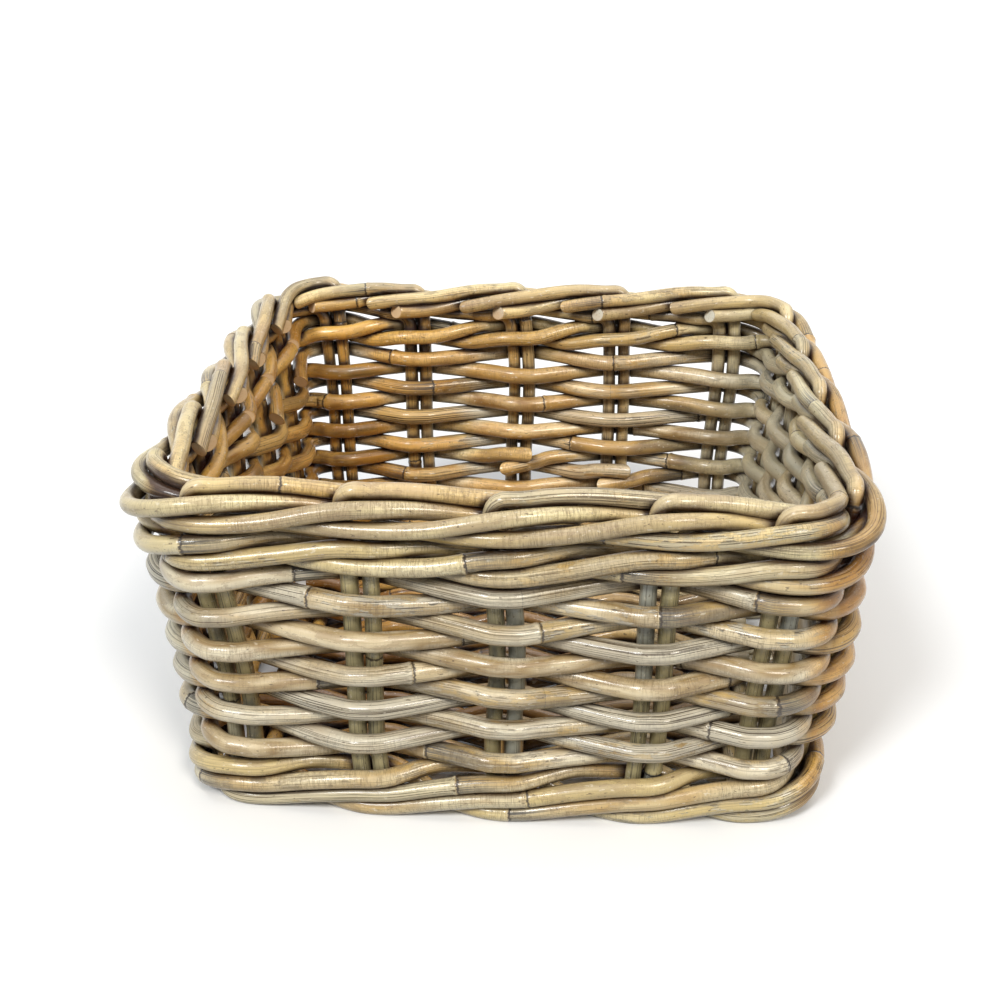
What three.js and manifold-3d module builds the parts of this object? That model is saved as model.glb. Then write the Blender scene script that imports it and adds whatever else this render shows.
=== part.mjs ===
// Square basket woven from round rattan rods, in millimetres.
// X runs along the front wall to the right, Y from the front to the back, Z up.
// The origin is the centre of the base on the floor. Pairs of stakes are counted
// anticlockwise seen from above: front wall from its left, right, back, left wall.
import * as THREE from 'three';
import { mergeVertices } from 'three/addons/utils/BufferGeometryUtils.js';
import Module from 'manifold-3d';

const wasm = await Module();
wasm.setup();

// Rods
const stakeDiameter = 9;
const weaverDiameter = 10.6;
const waleDiameter = 9.6;
const baseRodDiameter = 8.2;
const touchGap = 0.3; // between two rods that press on each other
const rodSides = 5;

// Walls: the middle plane that the stakes stand in leans outwards with height
const halfWidthAtFloor = 164.5;
const halfWidthAtRim = 183;
const cornerRadiusAtFloor = 20;
const cornerRadiusAtRim = 28;
const rimLevel = 200; // height at which the rim sizes are taken
const bowAtFloor = 8; // how far the middle of a wall bulges out
const bowAtRim = 0;
const rimDip = 8; // how much lower the rim is at its front right corner
const rimTaper = 5; // how much further out its right side lies at the front than half way
const straightShare = 0.88; // of one wall and its corner, the straight stretch
const cornerSteps = 3;

// Stakes: each upright is a pair of rods
const wallCount = 4;
const pairsPerWall = 5;
const pairCount = wallCount * pairsPerWall;
const pairSpread = 10.6; // between the middles of the two rods of a pair
const pairPlaceShares = [
  [-0.97, -0.48, 0.02, 0.54, 0.94],
  [-0.94, -0.47, 0, 0.47, 0.94],
  [-0.93, -0.43, 0.05, 0.54, 0.95],
  [-0.94, -0.47, 0, 0.47, 0.93],
];
const footBendRadius = 9; // where a stake turns up out of the base
const rimBendRadius = 7; // where it turns over into the border
const bendShare = 1 - Math.SQRT1_2; // of a bend's radius, how far its middle lies off the corner
const footFlat = 0.5; // depth worn flat underneath

// Randing: two spiral weavers that chase each other, over one pair and behind the next
const rowCount = 11;
const rowPitch = 11;
const firstRowGap = 3.4; // between the bottom wale and the lowest row
const weaverFlat = 7; // half the stretch that lies along a pair
const climbStartIndex = 15; // the weavers step up from here to the next row
const climbPairCount = 2;
const firstWeaverJointIndices = [17, 51, 99, 135];
const secondWeaverJointIndices = [16, 52, 86, 116];
const jointRun = 20; // where a rod leaves its row for a joint, from the pair's middle
const tailPast = 8; // how far a cut end runs past the pair's middle
const tailReach = 4; // how much further in it ends

// Wales: rods that pass before several pairs and behind one, each rising over the next
const waleFlat = 8;
const waleInsideFlat = 12.5;
const waleEndGap = 3; // between the two ends that meet behind a pair
const waleCross = 2.5; // how far inside the stakes' plane rods cross
const waleStep = waleDiameter + 1.9 * touchGap;
const topWaleGap = 1.4; // between the highest row and the top wale
const bottomWaleTuck = 1.7; // how far its lowest rods lie in under the others
const topWaleSeamIndex = 15;

// Base: the stakes run on under the basket, woven with short rods
const baseRodsPerGapCount = 5;
const baseFlat = 6.5;
const baseRodGap = 15.5; // from a base rod's end to the stakes' plane

// Border: each pair turns down to the right, its first rod over the top
const borderStep = stakeDiameter + 2 * touchGap;
const borderFlat = 9;
const borderLow = 11; // how far outside the stakes' plane the rods run at first
const borderHigh = 13; // and one pair on
const borderBetween = 14; // and between those two, where another rod passes below
const borderCornerBulge = 4;
const borderInside = 9.6;
const borderTailIn = 11;
const borderTailRun = 14;
const topRodFall = 4.6;
const topRodTailFall = 10;

// Levels of the rods' middles, from the floor up
const stakeRadius = stakeDiameter / 2;
const weaverRadius = weaverDiameter / 2;
const waleRadius = waleDiameter / 2;
const baseRodRadius = baseRodDiameter / 2;
const baseLevel = stakeRadius + stakeDiameter + touchGap - footFlat;
const waleLow = waleRadius - footFlat;
const waleMiddle = waleLow + waleStep;
const waleHigh = waleMiddle + waleStep;
const waleInside = baseLevel + stakeRadius + waleRadius + 2 * touchGap;
const firstRow = waleHigh + waleRadius + weaverRadius + firstRowGap;
const lastRow = firstRow + (rowCount - 1) * rowPitch;
const topWaleLow = lastRow + weaverRadius + waleRadius + topWaleGap;
const topWaleHigh = topWaleLow + waleStep;
const borderLevel = topWaleHigh + waleRadius + stakeRadius + touchGap;
const borderUpper = borderLevel + borderStep;
const borderTop = borderUpper + borderStep;
const weaverOut = stakeRadius + weaverRadius + touchGap;
const waleOut = stakeRadius + waleRadius + touchGap;
const halfSpread = pairSpread / 2;

const atHeight = (floor, rim, z) => floor + (rim - floor) * z / rimLevel;
const halfWidth = z => atHeight(halfWidthAtFloor, halfWidthAtRim, z);
const cornerRadius = z => atHeight(cornerRadiusAtFloor, cornerRadiusAtRim, z);
const straightHalf = z => halfWidth(z) - cornerRadius(z);
const bow = z => atHeight(bowAtFloor, bowAtRim, z);

// How far round the basket pair k stands, in walls; k may be between two pairs
function turnOfPair(k) {
  const whole = Math.floor(k);
  if (k > whole) {
    return THREE.MathUtils.lerp(turnOfPair(whole), turnOfPair(whole + 1), k - whole);
  }
  const wall = Math.floor(k / pairsPerWall);
  const shares = pairPlaceShares[wall % wallCount];
  return wall + straightShare * (1 + shares[k - wall * pairsPerWall]) / 2;
}

// A place on the walls: by a pair, along from its middle, out from the stakes' plane, up
function place(k, along, out, z) {
  const turn = turnOfPair(k) + straightShare * along / (2 * straightHalf(z));
  return { turn, out, z };
}

// The same place as a point of space
function wallPoint({ turn, out, z }) {
  const wall = Math.floor(turn);
  const part = turn - wall;
  const straight = straightHalf(z);
  const point = new THREE.Vector3();
  if (part < straightShare) {
    const across = 2 * part / straightShare - 1;
    const bulge = bow(z) * (1 - across * across);
    point.set(straight * across, -halfWidth(z) - bulge - out, z);
  } else {
    const angle = (part - straightShare) / (1 - straightShare) * Math.PI / 2;
    const radius = cornerRadius(z) + out;
    point.set(straight + radius * Math.sin(angle), -straight - radius * Math.cos(angle), z);
  }
  point.applyAxisAngle(new THREE.Vector3(0, 0, 1), wall * Math.PI / 2);
  const toRight = (1 + point.x / halfWidthAtRim) / 2;
  const toFront = (1 - point.y / halfWidthAtRim) / 2;
  point.x -= rimTaper * toRight * point.y / halfWidthAtRim * z / rimLevel;
  point.z -= rimDip * toRight * toFront * z / rimLevel;
  return point;
}

// Points of space through the places, with extra ones round the corners
function trace(places) {
  const points = [wallPoint(places[0])];
  const shortest = (1 - straightShare) / cornerSteps / 4;
  for (let i = 1; i < places.length; i++) {
    const from = places[i - 1];
    const to = places[i];
    for (let wall = Math.floor(from.turn); wall <= to.turn; wall++) {
      for (let step = 0; step <= cornerSteps; step++) {
        const turn = wall + straightShare + (1 - straightShare) * step / cornerSteps;
        if (turn > from.turn + shortest && turn < to.turn - shortest) {
          const share = (turn - from.turn) / (to.turn - from.turn);
          const out = THREE.MathUtils.lerp(from.out, to.out, share);
          const z = THREE.MathUtils.lerp(from.z, to.z, share);
          points.push(wallPoint({ turn, out, z }));
        }
      }
    }
    points.push(wallPoint(to));
  }
  return points;
}

// A path of straight runs through given points
class RodPath extends THREE.Curve {
  constructor(points) {
    super();
    this.points = points;
  }
  getPointAt(u, target = new THREE.Vector3()) {
    const run = u * (this.points.length - 1);
    const i = Math.min(Math.floor(run), this.points.length - 2);
    return target.lerpVectors(this.points[i], this.points[i + 1], run - i);
  }
  getTangentAt(u, target = new THREE.Vector3()) {
    const last = this.points.length - 1;
    const i = Math.round(u * last);
    const before = this.points[i].clone().sub(this.points[Math.max(i - 1, 0)]).normalize();
    const after = this.points[Math.min(i + 1, last)].clone().sub(this.points[i]).normalize();
    return target.addVectors(before, after).normalize();
  }
}

function rodGeometry(points, radius) {
  const section = new THREE.Shape();
  for (let i = 0; i < rodSides; i++) {
    const angle = 2 * Math.PI * i / rodSides;
    const corner = [radius * Math.cos(angle), radius * Math.sin(angle)];
    if (i === 0) {
      section.moveTo(...corner);
    } else {
      section.lineTo(...corner);
    }
  }
  section.closePath();
  const settings = { steps: points.length - 1, extrudePath: new RodPath(points) };
  return new THREE.ExtrudeGeometry(section, settings);
}

function toSolid(geometry) {
  const bare = geometry.clone();
  bare.deleteAttribute('normal');
  bare.deleteAttribute('uv');
  const merged = mergeVertices(bare);
  const mesh = new wasm.Mesh({
    numProp: 3,
    vertProperties: merged.getAttribute('position').array,
    triVerts: new Uint32Array(merged.index.array),
  });
  return new wasm.Manifold(mesh);
}

function toGeometry(solid) {
  const mesh = solid.getMesh();
  const geometry = new THREE.BufferGeometry();
  geometry.setAttribute('position', new THREE.BufferAttribute(mesh.vertProperties, 3));
  geometry.setIndex(new THREE.BufferAttribute(mesh.triVerts, 1));
  geometry.computeVertexNormals();
  return geometry;
}

// Rods that reach below the floor are worn flat there
const floorWidth = 4 * halfWidthAtRim;
const floorDepth = 2 * stakeDiameter;
const floorBlock = new THREE.BoxGeometry(floorWidth, floorWidth, floorDepth);
floorBlock.translate(0, 0, -floorDepth / 2);
const floor = toSolid(floorBlock);

function wornFlat(geometry) {
  geometry.computeBoundingBox();
  return geometry.boundingBox.min.z < 0 ? toGeometry(toSolid(geometry).subtract(floor)) : geometry;
}

const basket = new THREE.Group();

function family(color, roughness) {
  const group = new THREE.Group();
  const material = new THREE.MeshStandardMaterial({ color, roughness, metalness: 0 });
  basket.add(group);
  return (name, points, radius) => {
    const mesh = new THREE.Mesh(wornFlat(rodGeometry(points, radius)), material);
    mesh.name = name;
    group.add(mesh);
  };
}

// Randing
function rowLevel(k, firstLevel) {
  const past = k - climbStartIndex - climbPairCount;
  const laps = Math.floor(past / pairCount);
  const within = past - laps * pairCount;
  const climbed = Math.max(0, within - pairCount + climbPairCount);
  return firstRow + rowPitch * (firstLevel + 2 * laps + 2 * climbed / climbPairCount);
}

function weaverPlaces(first, last, firstLevel) {
  const places = [];
  const aside = weaverRadius + touchGap / 2;
  const fromRow = weaverOut * jointRun / (2 * jointRun + 2 * weaverFlat);
  for (let k = first; k <= last; k++) {
    const z = rowLevel(k, firstLevel);
    const out = (k - first) % 2 === 1 ? weaverOut : -weaverOut;
    if (k === first) {
      places.push(place(k, -tailPast, -weaverOut - tailReach, z + aside));
      places.push(place(k, tailPast, -weaverOut, z + aside));
      places.push(place(k, jointRun, -weaverOut + fromRow, z));
    } else if (k === last) {
      places.push(place(k, -jointRun, -weaverOut + fromRow, z));
      places.push(place(k, -tailPast, -weaverOut, z - aside));
      places.push(place(k, tailPast, -weaverOut - tailReach, z - aside));
    } else {
      places.push(place(k, -weaverFlat, out, z));
      places.push(place(k, weaverFlat, out, z));
    }
  }
  return places;
}

const addWeaver = family(0xb49a6c, 0.55);
function layWeaver(name, joints, firstLevel) {
  for (let i = 1; i < joints.length; i++) {
    const places = weaverPlaces(joints[i - 1], joints[i], firstLevel);
    addWeaver(`${name}_length_${i}`, trace(places), weaverRadius);
  }
}
layWeaver('first_weaver', firstWeaverJointIndices, 0);
layWeaver('second_weaver', secondWeaverJointIndices, 1);

// Wales: lanes lists where a rod lies at each pair of its stride, from behind a pair on,
// and crossings where it lies half way to the next pair
function walePlaces(first, last, lanes, crossings) {
  const places = [];
  for (let k = first; k <= last; k++) {
    const stride = (k - first) % lanes.length;
    const [out, z] = lanes[stride];
    const flat = out < 0 ? waleInsideFlat : waleFlat;
    places.push(place(k, k === first ? waleEndGap / 2 : -flat, out, z));
    places.push(place(k, k === last ? -waleEndGap / 2 : flat, out, z));
    if (k < last) {
      const [crossOut, crossLevel] = crossings[stride];
      places.push(place(k + 0.5, 0, crossOut, crossLevel));
    }
  }
  return places;
}

const addWale = family(0xa9926a, 0.6);
const bottomLanes = [
  [-waleOut, waleInside],
  [waleOut - bottomWaleTuck, waleLow],
  [waleOut, waleMiddle],
  [waleOut, waleHigh],
];
const bottomCrossings = [
  [-waleCross, waleLow + 0.14 * waleStep],
  [waleOut - bottomWaleTuck / 3, waleLow + 0.6 * waleStep],
  [waleOut, waleMiddle + 0.6 * waleStep],
  [-waleCross, waleHigh + 0.36 * waleStep],
];
for (let i = 0; i < bottomLanes.length; i++) {
  const places = walePlaces(i, i + pairCount, bottomLanes, bottomCrossings);
  addWale(`bottom_wale_rod_${i + 1}`, trace(places), waleRadius);
}

const topLanes = [
  [-waleOut, (topWaleLow + topWaleHigh) / 2],
  [waleOut, topWaleLow],
  [waleOut, topWaleHigh],
];
const topCrossings = [
  [-waleCross, topWaleLow - 0.12 * waleStep],
  [waleOut, topWaleLow + 0.36 * waleStep],
  [-waleCross, topWaleHigh],
];
const topStride = topLanes.length;
for (let i = 0; i < topStride; i++) {
  const first = topWaleSeamIndex + i;
  const last = topWaleSeamIndex + pairCount + (i + 1) % topStride;
  const places = walePlaces(first, last, topLanes, topCrossings);
  addWale(`top_wale_rod_${i + 1}`, trace(places), waleRadius);
}

// Stakes: from the base, up the wall and into the border
function uprightPlaces(k, along, footLevel, topLevel) {
  const foot = [
    place(k, along, -footBendRadius, footLevel),
    place(k, along, -footBendRadius * bendShare, footLevel + footBendRadius * bendShare),
    place(k, along, 0, footLevel + footBendRadius),
  ];
  const head = [
    place(k, along, 0, topLevel - rimBendRadius),
    place(k, along + rimBendRadius * bendShare, 0, topLevel - rimBendRadius * bendShare),
    place(k, along + rimBendRadius, 0, topLevel),
  ];
  return [...foot, ...head];
}

// The first rod of a pair lies on top to the next pair and ends inside, past it
function topRodPlaces(k) {
  return [
    place(k + 0.5, 0, -borderInside / 2, borderTop + touchGap),
    place(k + 1, -borderFlat, -borderInside, borderTop - topRodFall),
    place(k + 1, borderFlat, -borderInside, borderTop - topRodFall - 1.3 * touchGap),
    place(k + 1.5, 0, -borderTailIn, borderTop - topRodTailFall),
  ];
}

// The second rod runs outside the next two pairs and ends inside, behind the third
function sideRodPlaces(k) {
  const bulge = (k + 2) % pairsPerWall === 0 ? borderCornerBulge : 0;
  return [
    place(k + 0.5, 0, touchGap, borderLevel),
    place(k + 1, -borderFlat, borderLow, borderLevel),
    place(k + 1, borderFlat, borderLow, borderLevel),
    place(k + 1.5, 0, borderBetween + bulge, borderLevel + 0.35 * borderStep),
    place(k + 2, -borderFlat, borderHigh, borderUpper),
    place(k + 2, borderFlat, borderHigh, borderUpper),
    place(k + 2.5, 0, -2 * touchGap, borderUpper + 4 * touchGap),
    place(k + 3, -borderFlat, -borderInside, borderUpper - topRodFall),
    place(k + 3, borderTailRun, -borderTailIn, borderUpper - topRodFall - 2 * touchGap),
  ];
}

function stakeEnd(k, isFirst, footLevel) {
  const along = isFirst ? -halfSpread : halfSpread;
  const border = isFirst ? topRodPlaces(k) : sideRodPlaces(k);
  const topLevel = isFirst ? borderTop : borderLevel;
  return trace([...uprightPlaces(k, along, footLevel, topLevel), ...border]);
}

// Where warp rod i crosses the base at a given y
const warps = [];
const addStake = family(0x9d8f70, 0.6);
for (let i = 0; i < pairsPerWall; i++) {
  for (const isLeft of [true, false]) {
    const front = stakeEnd(i, isLeft, baseLevel);
    const back = stakeEnd(3 * pairsPerWall - 1 - i, !isLeft, baseLevel);
    warps.push([front[0], back[0]]);
    const side = isLeft ? 'left' : 'right';
    addStake(`front_back_stake_${i + 1}_${side}`, [...front.reverse(), ...back], stakeRadius);
  }
}

function warpX(i, y) {
  const [front, back] = warps[i];
  return THREE.MathUtils.mapLinear(y, front.y, back.y, front.x, back.x);
}

// Points along x over and under the warp pairs, over the even ones first if startsOver
function weftPoints(y, startsOver, rise) {
  const points = [];
  for (let i = 0; i < pairsPerWall; i++) {
    const middle = (warpX(2 * i, y) + warpX(2 * i + 1, y)) / 2;
    const isOver = (i % 2 === 0) === startsOver;
    const z = baseLevel + (isOver ? rise : -rise);
    points.push(new THREE.Vector3(middle - baseFlat, y, z));
    points.push(new THREE.Vector3(middle + baseFlat, y, z));
  }
  return points;
}

const stakeRise = stakeDiameter + touchGap;
const wefts = [];
for (let i = 0; i < pairsPerWall; i++) {
  for (const isFront of [true, false]) {
    const right = stakeEnd(pairsPerWall + i, isFront, baseLevel - stakeRise);
    const left = stakeEnd(wallCount * pairsPerWall - 1 - i, !isFront, baseLevel - stakeRise);
    const y = right[0].y;
    wefts.push(y);
    const side = isFront ? 'front' : 'rear';
    const across = weftPoints(y, false, stakeRise);
    addStake(`side_stake_${i + 1}_${side}`, [...left.reverse(), ...across, ...right], stakeRadius);
  }
}

// Base rods fill the spaces between the side stakes
const addBaseRod = family(0xa48a5e, 0.65);
const baseRodRise = stakeRadius + baseRodRadius + touchGap;
const baseRodEnd = halfWidthAtFloor - baseRodGap;
for (let gap = 1; gap < pairsPerWall; gap++) {
  const from = wefts[2 * gap - 1];
  const to = wefts[2 * gap];
  for (let i = 1; i <= baseRodsPerGapCount; i++) {
    const y = THREE.MathUtils.lerp(from, to, i / (baseRodsPerGapCount + 1));
    const startsOver = i % 2 === 1;
    const points = weftPoints(y, startsOver, baseRodRise);
    const { z } = points[0];
    points.unshift(new THREE.Vector3(-baseRodEnd, y, z));
    points.push(new THREE.Vector3(baseRodEnd, y, z));
    addBaseRod(`base_rod_${(gap - 1) * baseRodsPerGapCount + i}`, points, baseRodRadius);
  }
}

export default basket;
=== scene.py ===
"""Square basket woven from round rattan rods.

Metres in Blender; sizes below are millimetres. X runs along the front wall to the
right, Y from the front to the back, Z up, and the origin is the centre of the base
on the floor. Pairs of stakes are counted anticlockwise seen from above, from the
left end of the front wall.

Stakes stand up, weavers and wales go round them, and the stakes' own ends make the
border.
"""
import math
from types import SimpleNamespace

import bpy
import numpy as np
from mathutils import Matrix


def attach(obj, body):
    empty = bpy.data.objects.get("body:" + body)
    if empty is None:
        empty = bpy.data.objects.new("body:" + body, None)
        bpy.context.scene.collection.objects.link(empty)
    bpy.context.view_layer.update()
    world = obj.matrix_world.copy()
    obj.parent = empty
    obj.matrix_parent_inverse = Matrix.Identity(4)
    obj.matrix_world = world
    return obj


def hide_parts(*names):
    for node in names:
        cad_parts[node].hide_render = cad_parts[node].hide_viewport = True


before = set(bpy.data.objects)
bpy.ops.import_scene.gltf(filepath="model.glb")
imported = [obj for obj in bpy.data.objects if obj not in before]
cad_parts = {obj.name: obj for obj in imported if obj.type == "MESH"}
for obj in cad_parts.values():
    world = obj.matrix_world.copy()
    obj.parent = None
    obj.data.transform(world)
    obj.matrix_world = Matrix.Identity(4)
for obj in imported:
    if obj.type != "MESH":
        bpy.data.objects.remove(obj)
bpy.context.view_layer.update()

MM = 0.001

# Rods, by diameter
STAKE = 9.0
WEAVER = 10.6
WALE = 9.6
BASE_ROD = 8.2
TOUCH = 0.3  # between rods that cross
FULLNESS = 1.035  # a round rod's size over that of the five-sided one it stands for

# Walls
HALF_FLOOR, HALF_RIM = 164.5, 183.0  # from the middle to a wall's stakes
CORNER_FLOOR, CORNER_RIM = 20.0, 28.0  # radius
BOW_FLOOR, BOW_RIM = 8.0, 0.0  # how far a wall's middle stands out
RIM_LEVEL = 200.0
RIM_DIP = 8.0  # at the front right corner
RIM_TAPER = 5.0  # how far the right side comes in at the back, and out at the front
STRAIGHT_SHARE = 0.88  # of a wall's turn; the rest is its corner
PAIRS_PER_WALL = 5
PAIRS = 4 * PAIRS_PER_WALL
PAIR_SPREAD = 10.6  # between the two stakes of a pair
PAIR_SHARES = np.array([  # along each wall's straight stretch, from -1 to 1
    [-0.97, -0.48, 0.02, 0.54, 0.94],
    [-0.94, -0.47, 0.0, 0.47, 0.94],
    [-0.93, -0.43, 0.05, 0.54, 0.95],
    [-0.94, -0.47, 0.0, 0.47, 0.93],
])
FOOT_BEND = 9.0
RIM_BEND = 7.0
BEND_SHARE = 1 - math.sqrt(0.5)
FOOT_FLAT = 0.5
FOLD_RUN = 16.0  # how far past its fold at the rim a stake becomes loose

# Randing: two weavers that chase each other round the walls, each in three lengths
ROWS = 11
ROW_PITCH = 11.0
FIRST_ROW_GAP = 3.4  # above the wale at the foot
WEAVER_FLAT = 7.0  # half the straight stretch by a pair
CLIMB_START, CLIMB_PAIRS = 15, 2  # up to its next row from this pair, over two pairs
FIRST_JOINTS = (17, 51, 99, 135)  # pairs behind which the lengths start and end
SECOND_JOINTS = (16, 52, 86, 116)
JOINT_RUN = 20.0  # from an end's pair to its row
TAIL_PAST = 8.0  # how far an end goes on past its pair
TAIL_REACH = 4.0  # and how far into the basket
TAIL_LOOSE, TAIL_FADE = 40.0, 20.0  # firm this far from its ends, and loose so much nearer

# Wales
WALE_FLAT = 8.0  # half the straight stretch outside a pair
WALE_INSIDE_FLAT = 12.5  # and inside one
WALE_END_GAP = 3.0  # between a rod's two ends
WALE_CROSS = 2.5  # how far inside the stakes' plane it passes between pairs
WALE_STEP = WALE + 1.9 * TOUCH
TOP_WALE_GAP = 1.4  # above the last row
BOTTOM_TUCK = 1.7  # the lowest rod's, further in than those above it
TOP_SEAM = 15  # pair where the wale under the rim starts

# Base
BASE_RODS_PER_GAP = 5
BASE_FLAT = 6.5  # half the straight stretch over or under a pair
BASE_ROD_GAP = 15.5  # from a base rod's end to the wall's stakes

# Border. Round bends pass each other in less room than the straight runs of the solids
# do, so the rods on its side lie up to 3 mm closer to those on top than their solids.
BORDER_STEP = STAKE + 2 * TOUCH
BORDER_FLAT = 9.0  # half the straight stretch by a pair
BORDER_LOW_OUT, BORDER_BETWEEN_OUT, BORDER_HIGH_OUTS = 10.4, 12.5, (10.4, 9.8)
BORDER_LOW_LIFTS, BORDER_HIGH_LIFTS = (0.8, 1.2), (2.4, 3.4)
BORDER_BETWEEN_SHARE = 0.45
BORDER_BULGE = 4.0  # round the corners
BORDER_INSIDE = 9.6  # how far inside the stakes' plane the rods go down
BORDER_TAIL_IN = 11.0
BORDER_TAIL_RUN = 14.0
TOP_ROD_FALL = 4.6
TOP_ROD_TAIL_FALL = 10.0

# Levels of the rods' middles
STAKE_R, WEAVER_R, WALE_R, BASE_R = STAKE / 2, WEAVER / 2, WALE / 2, BASE_ROD / 2
BASE_LEVEL = STAKE_R + STAKE + TOUCH - FOOT_FLAT
WALE_LOW = WALE_R - FOOT_FLAT
WALE_MIDDLE = WALE_LOW + WALE_STEP
WALE_HIGH = WALE_MIDDLE + WALE_STEP
WALE_INSIDE = BASE_LEVEL + STAKE_R + WALE_R + 2 * TOUCH
FIRST_ROW = WALE_HIGH + WALE_R + WEAVER_R + FIRST_ROW_GAP
LAST_ROW = FIRST_ROW + (ROWS - 1) * ROW_PITCH
TOP_LOW = LAST_ROW + WEAVER_R + WALE_R + TOP_WALE_GAP
TOP_HIGH = TOP_LOW + WALE_STEP
BORDER_LEVEL = TOP_HIGH + WALE_R + STAKE_R + TOUCH
BORDER_UPPER = BORDER_LEVEL + BORDER_STEP
BORDER_TOP = BORDER_UPPER + BORDER_STEP
WEAVER_OUT = STAKE_R + WEAVER_R + TOUCH
WALE_OUT = STAKE_R + WALE_R + TOUCH
HALF_SPREAD = PAIR_SPREAD / 2


# Places on the walls

def at_height(floor, rim, z):
    """The value at height z on a straight line from its floor to its rim value."""
    return floor + (rim - floor) * z / RIM_LEVEL


def straight_half(z):
    """Half the straight stretch of a wall at height z."""
    return at_height(HALF_FLOOR - CORNER_FLOOR, HALF_RIM - CORNER_RIM, z)


def turn_of_pair(k):
    """How far round the basket pair k stands, in walls; between pairs it is interpolated."""
    whole = math.floor(k)
    wall = whole // PAIRS_PER_WALL
    along = PAIR_SHARES[wall % 4, whole - wall * PAIRS_PER_WALL]
    turn = wall + STRAIGHT_SHARE * (1 + along) / 2
    if k > whole:
        turn += (turn_of_pair(whole + 1) - turn) * (k - whole)
    return turn


def place(k, along, out, z):
    """(turn, out, z) of a place by pair k, along from its middle, out from the stakes' plane."""
    return (turn_of_pair(k) + STRAIGHT_SHARE * along / (2 * straight_half(z)), out, z)


def wall_points(places):
    """Points in space of rows of (turn, out, z).

    A wall is a straight run that bows out as a parabola, then a quarter circle; both lean
    with height. The result is turned by whole quarter turns, and the rim is tapered along
    its right side and dips towards the front right corner.
    """
    turn, out, z = np.asarray(places, float).T
    wall = np.floor(turn)
    part = turn - wall
    straight = straight_half(z)
    half = at_height(HALF_FLOOR, HALF_RIM, z)
    across = 2 * part / STRAIGHT_SHARE - 1
    bulge = at_height(BOW_FLOOR, BOW_RIM, z) * (1 - across**2)
    angle = (part - STRAIGHT_SHARE) / (1 - STRAIGHT_SHARE) * math.pi / 2
    radius = at_height(CORNER_FLOOR, CORNER_RIM, z) + out
    on_wall = part < STRAIGHT_SHARE
    x = np.where(on_wall, straight * across, straight + radius * np.sin(angle))
    y = np.where(on_wall, -half - bulge - out, -straight - radius * np.cos(angle))
    c, s = np.cos(wall * math.pi / 2), np.sin(wall * math.pi / 2)
    x, y = c * x - s * y, s * x + c * y
    to_right = (1 + x / HALF_RIM) / 2
    to_front = (1 - y / HALF_RIM) / 2
    x = x - RIM_TAPER * to_right * y / HALF_RIM * z / RIM_LEVEL
    z = z - RIM_DIP * to_right * to_front * z / RIM_LEVEL
    return np.stack([x, y, z], axis=1)


def dense(rows, step=1.5):
    """Rows of (turn, out, z) joined by straight runs, with one about every step millimetres."""
    rows = np.asarray(rows, float)
    lengths = np.linalg.norm(np.diff(rows, axis=0) * [2 * HALF_RIM, 1, 1], axis=1)
    stations = np.r_[0, np.cumsum(lengths)]
    wanted = np.union1d(np.arange(0, stations[-1], step), stations)
    return np.stack([np.interp(wanted, stations, column) for column in rows.T], axis=1)


# How the basket gives: the whole weave sways as one, so rods that touch stay side by side

SWAY = 0.62  # millimetres, of each wave
SWAY_COUNT = 7
SWAY_LENGTHS = (70, 170)
SWAY_STILL, SWAY_RISE = 6, 40  # still up to this height, and in full so much higher
sway_rng = np.random.default_rng(11)
sway_ways = sway_rng.normal(size=(SWAY_COUNT, 3))
sway_turns = 2 * math.pi / sway_rng.uniform(*SWAY_LENGTHS, SWAY_COUNT)
SWAY_WAVES = sway_ways * (sway_turns / np.linalg.norm(sway_ways, axis=1))[:, None]
SWAY_PHASES = sway_rng.uniform(0, 2 * math.pi, (SWAY_COUNT, 3))


def sway(points):
    """Points moved by a sum of seven slow sine waves through space, still at the floor."""
    waves = np.sin((points @ SWAY_WAVES.T)[:, :, None] + SWAY_PHASES[None]).sum(axis=1)
    hold = np.clip((points[:, 2:] - SWAY_STILL) / SWAY_RISE, 0, 1)
    return points + SWAY * hold * waves


# Paths

def even(columns, step):
    """A path of x, y, z and any further columns, with points a step apart, and its length."""
    lengths = np.linalg.norm(np.diff(columns[:, :3], axis=0), axis=1)
    stations = np.r_[0, np.cumsum(lengths)]
    wanted = np.linspace(0, stations[-1], max(2, int(round(stations[-1] / step)) + 1))
    return np.stack([np.interp(wanted, stations, c) for c in columns.T], axis=1), stations[-1]


def bell(spread):
    """Weights of a bell curve at whole steps, out to three times its spread; they add to 1."""
    reach = int(3 * spread)
    weights = np.exp(-0.5 * (np.arange(-reach, reach + 1) / spread) ** 2)
    return weights / weights.sum()


def eased(points, spread):
    """A path of points 1 mm apart with its bends rounded: each point is the mean of its
    neighbours, weighted by a bell curve of that spread. It is carried on straight past its
    ends, so they stay."""
    weights = bell(spread)
    reach = len(weights) // 2
    head = 2 * points[0] - points[reach:0:-1]
    tail = 2 * points[-1] - points[-2:-reach - 2:-1]
    padded = np.vstack([head, points, tail])
    return np.stack([np.convolve(c, weights, mode="valid") for c in padded.T], axis=1)


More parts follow.
